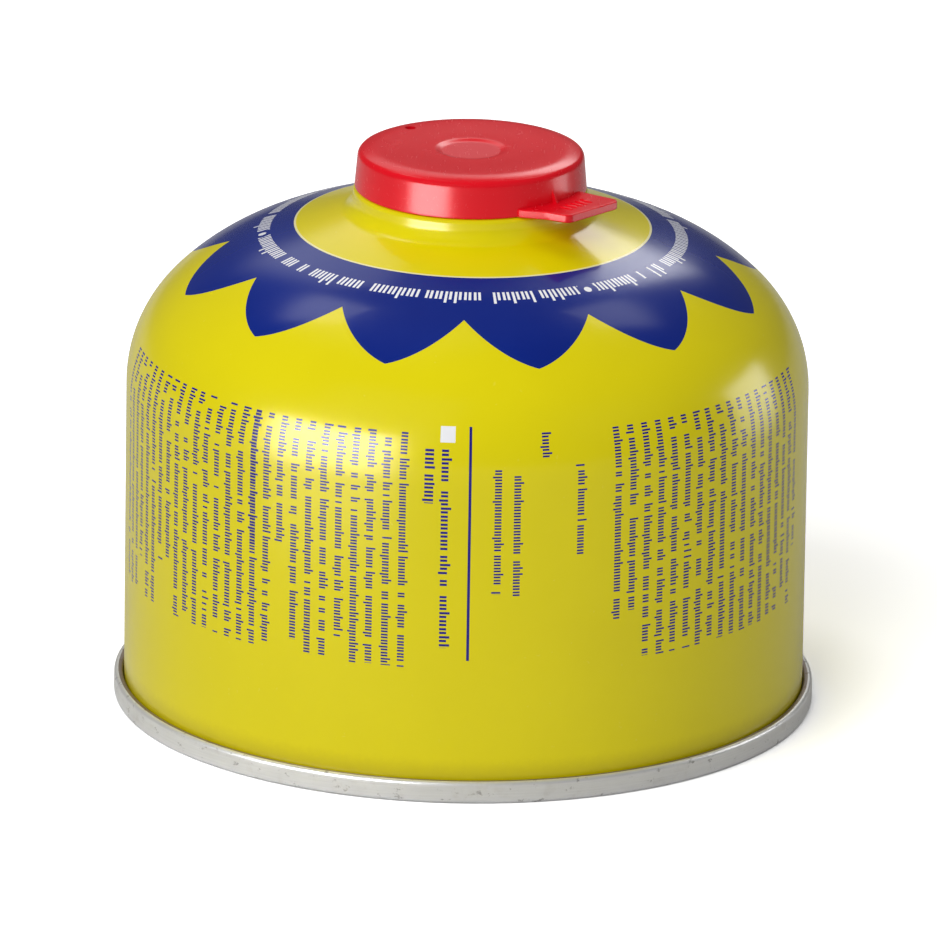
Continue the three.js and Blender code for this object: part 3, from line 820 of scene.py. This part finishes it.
def capShell():
    size = capSizes
    rounds = size["rounds"]
    draft = math.radians(size["draft"])
    browTurn = math.radians(size["browSlope"])
    slope = math.tan(draft)
    sideTop = size["crest"] - size["brow"] + (size["brow"] - size["round"]) * math.cos(browTurn)
    roundRadius = size["radius"] - (sideTop - size["bottom"]) * slope - size["round"] * math.cos(draft)
    browRadius = roundRadius - (size["brow"] - size["round"]) * math.sin(browTurn)
    side = arc((roundRadius, sideTop), size["round"], size["draft"], 90 - size["browSlope"], 9)

    # the inside: under the disc and the dish, down the bore, over the bead and out at the bottom
    discTop = size["crest"] - size["dishDepth"]
    under = discTop - size["wall"]
    roofEdge = sideTop + size["round"] - size["wall"]
    boreTop = size["bore"] - (roofEdge - size["bottom"]) * slope
    beadTop = size["beadMiddle"] + size["beadHeight"]
    overBead = size["bore"] - (beadTop - size["bottom"]) * slope
    inside = rounded([
        (0, under), (size["disc"] + size["discUnder"], under, rounds["disc"]),
        (browRadius, size["crest"] - size["wall"], rounds["roof"]), (boreTop, roofEdge, rounds["bore"]),
        (overBead, beadTop, rounds["overBead"]), (size["beadRadius"], size["beadMiddle"], rounds["bead"]),
        (size["bore"], size["bottom"], rounds["lip"]), (size["radius"], size["bottom"], rounds["foot"]),
        side[0],
    ], 6)

    # the dish: its rim falls gently from the crest to a short slope round the flat disc
    dishEnd = size["disc"] + size["discSlope"]
    lip = size["crest"] - size["dishDepth"] * size["dishFall"]
    fall = []
    for share in shares(12):
        height = size["crest"] + (lip - size["crest"]) * eased(share)
        fall.append((browRadius + (dishEnd - browRadius) * share, height))
    for share in shares(8):
        fall.append((dishEnd - size["discSlope"] * share, lip + (discTop - lip) * eased(share)))
    brow = arc((browRadius, size["crest"] - size["brow"]), size["brow"], 90 - size["browSlope"], 90, 8)
    section = [*inside, *side[1:], *brow[1:], *fall, (0, discTop)]
    return turnedPiece("cap_moulded", held(section), finishes["red_plastic"], size["sides"])


# a place round the cap: out from the axis and across, as seen along the pull tab
def fromTab(out, across, height):
    angle = math.radians(capSizes["tabAngle"])
    x = out * math.sin(angle) + across * math.cos(angle)
    y = -out * math.cos(angle) + across * math.sin(angle)
    return Vector((x, y, height)) * mm


# an upright prism over an outline; its sharp edges are rounded where an edge size is given
def prism(name, outline, bottom, top, edge=0):
    count = len(outline)
    vertices = [(*point[:2], bottom) for point in outline] + [(*point[:2], top) for point in outline]
    faces = [tuple(reversed(range(count))), tuple(range(count, 2 * count))]
    faces += [(i, (i + 1) % count, (i + 1) % count + count, i + count) for i in range(count)]
    made = newObject(name, vertices, (), faces)
    made.data.materials.append(finishes["red_plastic"])
    if edge:
        bevel = made.modifiers.new("edge", "BEVEL")
        bevel.width = edge
        bevel.segments = 3
        bevel.limit_method = "ANGLE"
        bevel.angle_limit = math.radians(capSizes["edgeCrease"])
        keepMesh(made)
    return made


def capTab():
    size = capSizes
    half = size["tabWidth"] / 2
    near = size["radius"] + size["tabReach"] - size["tabSkew"]
    far = size["radius"] + size["tabReach"] + size["tabSkew"]
    web = math.radians(size["webAngle"])
    inWall = size["bore"] + size["wall"] * size["tabRoot"]
    endAcross = half - size["tabTaper"]
    endAngle = math.asin(endAcross / inWall)
    # the tab's outline: along the cap's side, out on the near edge, round the tip and back on the far edge
    corners = [
        (inWall * math.cos(web), -inWall * math.sin(web)),
        (size["radius"] * math.cos(web) + size["tabStart"], -size["radius"] * math.sin(web)),
        (size["radius"] + size["tabWaist"], -half - size["tabFlare"], size["tabWaistRound"]),
        (near, -half, size["tabCorner"]),
        (far, half, size["tabCorner"]),
        (size["radius"], endAcross),
        (inWall * math.cos(endAngle), endAcross),
    ]
    outline = [fromTab(out, across, 0) for out, across in rounded(corners, 6)]
    inner = []
    for share in shares(16)[:-1]:
        angle = endAngle - (web + endAngle) * share
        inner.append(fromTab(inWall * math.cos(angle), inWall * math.sin(angle), 0))
    top = size["bottom"] + size["tabThickness"]
    return prism("tab", [*outline, *inner], size["bottom"] * mm, top * mm, size["tabEdge"] * mm)


# the small upright web where the tab meets the cap's side
def capGusset():
    size = capSizes
    low = size["bottom"] + size["tabThickness"] / 2
    top = size["bottom"] + size["tabThickness"] + size["gussetHeight"]
    inside = size["radius"] - size["wall"] * size["gussetRoot"]
    lean = (top - size["bottom"]) * math.tan(math.radians(size["draft"]))
    side = [
        (inside, low), (size["radius"] + size["gussetDepth"], low),
        (size["radius"] + size["gussetDepth"], size["bottom"] + size["tabThickness"]),
        (size["radius"] - lean, top), (inside - lean, top),
    ]
    angle = math.radians(size["gussetAngle"])
    out = Vector((math.sin(angle), -math.cos(angle), 0))
    across = Vector((math.cos(angle), math.sin(angle), 0)) * size["gussetWidth"] / 2
    up = Vector((0, 0, 1))
    near = [(out * radius + up * height - across) * mm for radius, height in side]
    away = [(out * radius + up * height + across) * mm for radius, height in side]
    count = len(side)
    faces = [tuple(range(count)), tuple(reversed(range(count, 2 * count)))]
    faces += [((i + 1) % count, i, i + count, (i + 1) % count + count) for i in range(count)]
    made = newObject("gusset", near + away, (), faces)
    made.data.materials.append(finishes["red_plastic"])
    return made


def capRibs():
    size = capSizes
    made = newObject("ribs", [(0, 0, 0)])
    top = size["bottom"] + size["tabThickness"]
    middle = fromTab(size["radius"] + size["tabReach"] / 2, -size["ribPitch"] / 2, top)
    bar = Vector((size["ribLength"], size["ribWidth"], size["ribHeight"] * 2)) * mm * size["ribGrowth"]
    return grow(made, trees["ribs"], {
        "Count": size["ribs"], "Pitch": size["ribPitch"] * mm, "Size": bar, "Middle": middle,
        "Turn": math.radians(size["tabAngle"] - 90), "Material": finishes["red_plastic"],
    })


def ventHole():
    size = capSizes
    angle = math.radians(size["ventAngle"])
    middle = (size["ventPlace"] * math.sin(angle), -size["ventPlace"] * math.cos(angle))
    ring = [Vector(point) * mm for point in arc(middle, size["ventBore"], 0, 360, 32)[:-1]]
    low = size["crest"] - size["ventReach"]
    return prism("vent", ring, low * mm, (low + size["ventReach"] * 2) * mm)


# joins a helper object to the cap's shell, or cuts it out, and removes the helper
def combine(made, helper, operation):
    modifier = made.modifiers.new(operation, "BOOLEAN")
    modifier.operation = operation
    modifier.solver = "EXACT"
    modifier.object = helper
    keepMesh(made)
    bpy.data.objects.remove(helper)


# merges doubles, and turns the faces outwards
def outwards(made):
    shape = bmesh.new()
    shape.from_mesh(made.data)
    bmesh.ops.remove_doubles(shape, verts=shape.verts, dist=0.001 * mm)
    if shape.calc_volume(signed=True) < 0:
        bmesh.ops.reverse_faces(shape, faces=shape.faces)
    shape.to_mesh(made.data)
    shape.free()


def finishCap():
    shell = capShell()
    outwards(shell)
    for helper in (capTab(), capGusset(), capRibs()):
        outwards(helper)
        combine(shell, helper, "UNION")
    vent = ventHole()
    outwards(vent)
    combine(shell, vent, "DIFFERENCE")
    shell.data.shade_smooth()
    shell.data.set_sharp_from_angle(angle=math.radians(capSizes["crease"]))
    weighted = shell.modifiers.new("flat shading", "WEIGHTED_NORMAL")
    weighted.keep_sharp = True
    return keepMesh(shell)


pieces = [
    (canBody(), "can", "can_body", "yellow_paint"),
    (baseEnd(), "can", "base_end", "tinplate"),
    (valveCup(), "can", "valve_cup", "tinplate"),
    (cupGasket(), "can", "cup_gasket", "black_rubber"),
    (stemSeal(), "can", "stem_seal", "black_rubber"),
    (valveHousing(), "can", "valve_housing", "pale_acetal"),
    (valveSpring(), "can", "valve_spring", "spring_steel"),
    (valveStem(), "stem", "valve_stem", "pale_acetal"),
    (finishCap(), "cap", "cap", "red_plastic"),
]
for made, body, node, slot in pieces:
    if node != "cap":
        outwards(made)
    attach(made, body)
    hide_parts(node)
spring = next(made for made, body, node, slot in pieces if node == "valve_spring")
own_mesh(spring)
print("pieces made:", len(pieces), "with", sum(len(made.data.polygons) for made, *_ in pieces), "faces")


studio = {
    "floorSize": 6.0, "floor": 0.7, "floorSeen": 1.7, "floorGlossy": 0.6, "openUnder": 51,
    "world": 0.30, "glossyWorld": 0.1, "lampTarget": (0, 0, 0.045), "cardSteps": 24, "cardSides": 0.25,
    "cardTop": 0.15, "cardMargin": 5,
}
lamps = {
    "key light": {"place": (-0.9, -1.5, 1.3), "size": 1.6, "power": 31},
    "fill light": {"place": (1.5, -1.2, 0.9), "size": 1.2, "power": 1.4},
    "top light": {"place": (-0.3, 0.4, 1.8), "size": 1.0, "power": 8},
}
# the cards run between two angles, in degrees from the front towards the right; "fade" is the share of
# their height that they brighten over
nearCard = {"distance": 0.145, "bottom": 0.0, "top": 0.10, "fade": 0.8}
upperCard = {"distance": 1.0, "bottom": 1.05, "top": 2.0, "fade": 0.3}
cards = {
    "left_card": {**nearCard, "from": -64, "to": -14, "strength": 17},
    "right_card": {**nearCard, "from": 82, "to": 110, "strength": 4.5},
    "upper_left_card": {**upperCard, "from": 206, "to": 238, "strength": 2.4},
    "upper_right_card": {**upperCard, "from": 122, "to": 154, "strength": 1.8},
    "card_behind": {
        "from": 148, "to": 212, "distance": 1.0, "bottom": 0.44, "top": 1.25, "strength": 1.1, "fade": 0.25,
    },
    "card_behind_right": {
        "from": 152, "to": 178, "distance": 0.95, "bottom": 0.42, "top": 0.95, "strength": 3.2, "fade": 0.3,
    },
}


# a square lamp that no reflection shows
def areaLight(name, size):
    lamp = bpy.data.lights.new(name, "AREA")
    lamp.shape = "SQUARE"
    lamp.size = size["size"]
    lamp.energy = size["power"]
    made = bpy.data.objects.new(name, lamp)
    bpy.context.scene.collection.objects.link(made)
    made.location = size["place"]
    aim = Vector(studio["lampTarget"]) - Vector(size["place"])
    made.rotation_euler = aim.to_track_quat("-Z", "Y").to_euler()
    made.visible_glossy = False


# an upright curved card that only reflections see; its light fades towards all its edges
def reflectorCard(name, size):
    steps = studio["cardSteps"]
    vertices = []
    for step in range(steps + 1):
        angle = math.radians(size["from"] + (size["to"] - size["from"]) * step / steps)
        side = (size["distance"] * math.sin(angle), -size["distance"] * math.cos(angle))
        vertices += [(*side, size["bottom"]), (*side, size["top"])]
    faces = [(2 * step, 2 * step + 1, 2 * step + 3, 2 * step + 2) for step in range(steps)]
    made = newObject(name, vertices, (), faces)
    material, maker, place = newMaterial(name)
    x, y, z = maker.split(place)
    angle = polar(maker, x, y)[1]
    angle = angle + 360 * (angle < size["from"] - studio["cardMargin"])
    across = (size["to"] - size["from"]) * studio["cardSides"]
    sides = maker.ramp(angle, size["from"], size["from"] + across)
    sides = sides * (1 - maker.ramp(angle, size["to"] - across, size["to"]))
    tall = size["top"] - size["bottom"]
    height = maker.ramp(z, size["bottom"] * 1000, (size["bottom"] + tall * size["fade"]) * 1000)
    fadeFrom = size["top"] - tall * studio["cardTop"]
    height = height * (1 - maker.ramp(z, fadeFrom * 1000, size["top"] * 1000))
    glow = maker.node("ShaderNodeEmission", {}, {"Strength": sides * height * size["strength"]})
    clear = maker.node("ShaderNodeBsdfTransparent")
    shown = maker.node("ShaderNodeAddShader", {}, {0: glow, 1: clear})
    maker.node("ShaderNodeOutputMaterial", {}, {"Surface": shown})
    made.data.materials.append(material)
    made.visible_camera = False
    made.visible_diffuse = False
    made.visible_shadow = False


# what sees a surface: 1 for the camera's rays, for those or rays through glass, and for reflections
def viewers(maker):
    rays = maker.node("ShaderNodeLightPath").socket.node.outputs
    camera = Wire(maker, rays["Is Camera Ray"])
    seen = camera.math("MAXIMUM", Wire(maker, rays["Is Transmission Ray"]))
    return camera, seen, Wire(maker, rays["Is Glossy Ray"])


def paleFloor():
    half = studio["floorSize"]
    corners = [(-half, -half, 0), (half, -half, 0), (half, half, 0), (-half, half, 0)]
    made = newObject("floor", corners, (), [(0, 1, 2, 3)])
    material, maker, place = newMaterial("pale floor")
    camera, seen, glossy = viewers(maker)
    mottle = maker.noise(place, 0.004, 2) * 0.04
    level = studio["floor"] + seen * (studio["floorSeen"] - studio["floor"])
    level = level + glossy * (studio["floorGlossy"] - studio["floor"]) - mottle
    matt = maker.node("ShaderNodeBsdfDiffuse", {}, {"Color": maker.join(level, level, level)})
    # it is clear from below, and lets light through under the can, so that the base can be looked at
    radius = polar(maker, *maker.split(place)[:2])[0]
    underCan = (radius < studio["openUnder"]) * (1 - camera)
    below = maker.node("ShaderNodeNewGeometry", output="Backfacing")
    clear = maker.node("ShaderNodeBsdfTransparent")
    shown = maker.node("ShaderNodeMixShader", {}, {0: below.math("MAXIMUM", underCan), 1: matt, 2: clear})
    maker.node("ShaderNodeOutputMaterial", {}, {"Surface": shown})
    made.data.materials.append(material)


# the room looks white to the camera and through glass, and lights and reflects more dimly
def whiteWorld():
    world = bpy.data.worlds.new("pale room")
    bpy.context.scene.world = world
    world.use_nodes = True
    world.node_tree.nodes.clear()
    maker = Maker(world.node_tree)
    seen, glossy = viewers(maker)[1:]
    dim = studio["world"]
    strength = dim + seen * (1 - dim) + glossy * (studio["glossyWorld"] - dim)
    background = maker.node("ShaderNodeBackground", {}, {"Color": (1, 1, 1, 1), "Strength": strength})
    maker.node("ShaderNodeOutputWorld", {}, {"Surface": background})


cameraSizes = {
    "target": (0.431, 0, 36.727), "distance": 2481.94, "elevation": 17.762, "roll": 0.886, "lens": 607.04,
    "sensor": 36,
}


def photoCamera():
    size = cameraSizes
    rise = math.radians(size["elevation"])
    roll = math.radians(size["roll"])
    back = Vector((0, -math.cos(rise), math.sin(rise)))
    up = Vector((0, math.sin(rise), math.cos(rise)))
    right = Vector((1, 0, 0))
    across = math.cos(roll) * right + math.sin(roll) * up
    above = math.cos(roll) * up - math.sin(roll) * right
    lens = bpy.data.cameras.new("camera")
    lens.lens = size["lens"]
    lens.sensor_width = size["sensor"]
    made = bpy.data.objects.new("camera", lens)
    bpy.context.scene.collection.objects.link(made)
    turn = Matrix((across, above, back)).transposed().to_4x4()
    place = (Vector(size["target"]) + back * size["distance"]) * mm
    made.matrix_world = Matrix.Translation(place) @ turn
    bpy.context.scene.camera = made


paleFloor()
whiteWorld()
for name, sizes in lamps.items():
    areaLight(name, sizes)
for name, sizes in cards.items():
    reflectorCard(name, sizes)
photoCamera()
bpy.context.scene.view_settings.view_transform = "Standard"
print("stage, lights and camera made")
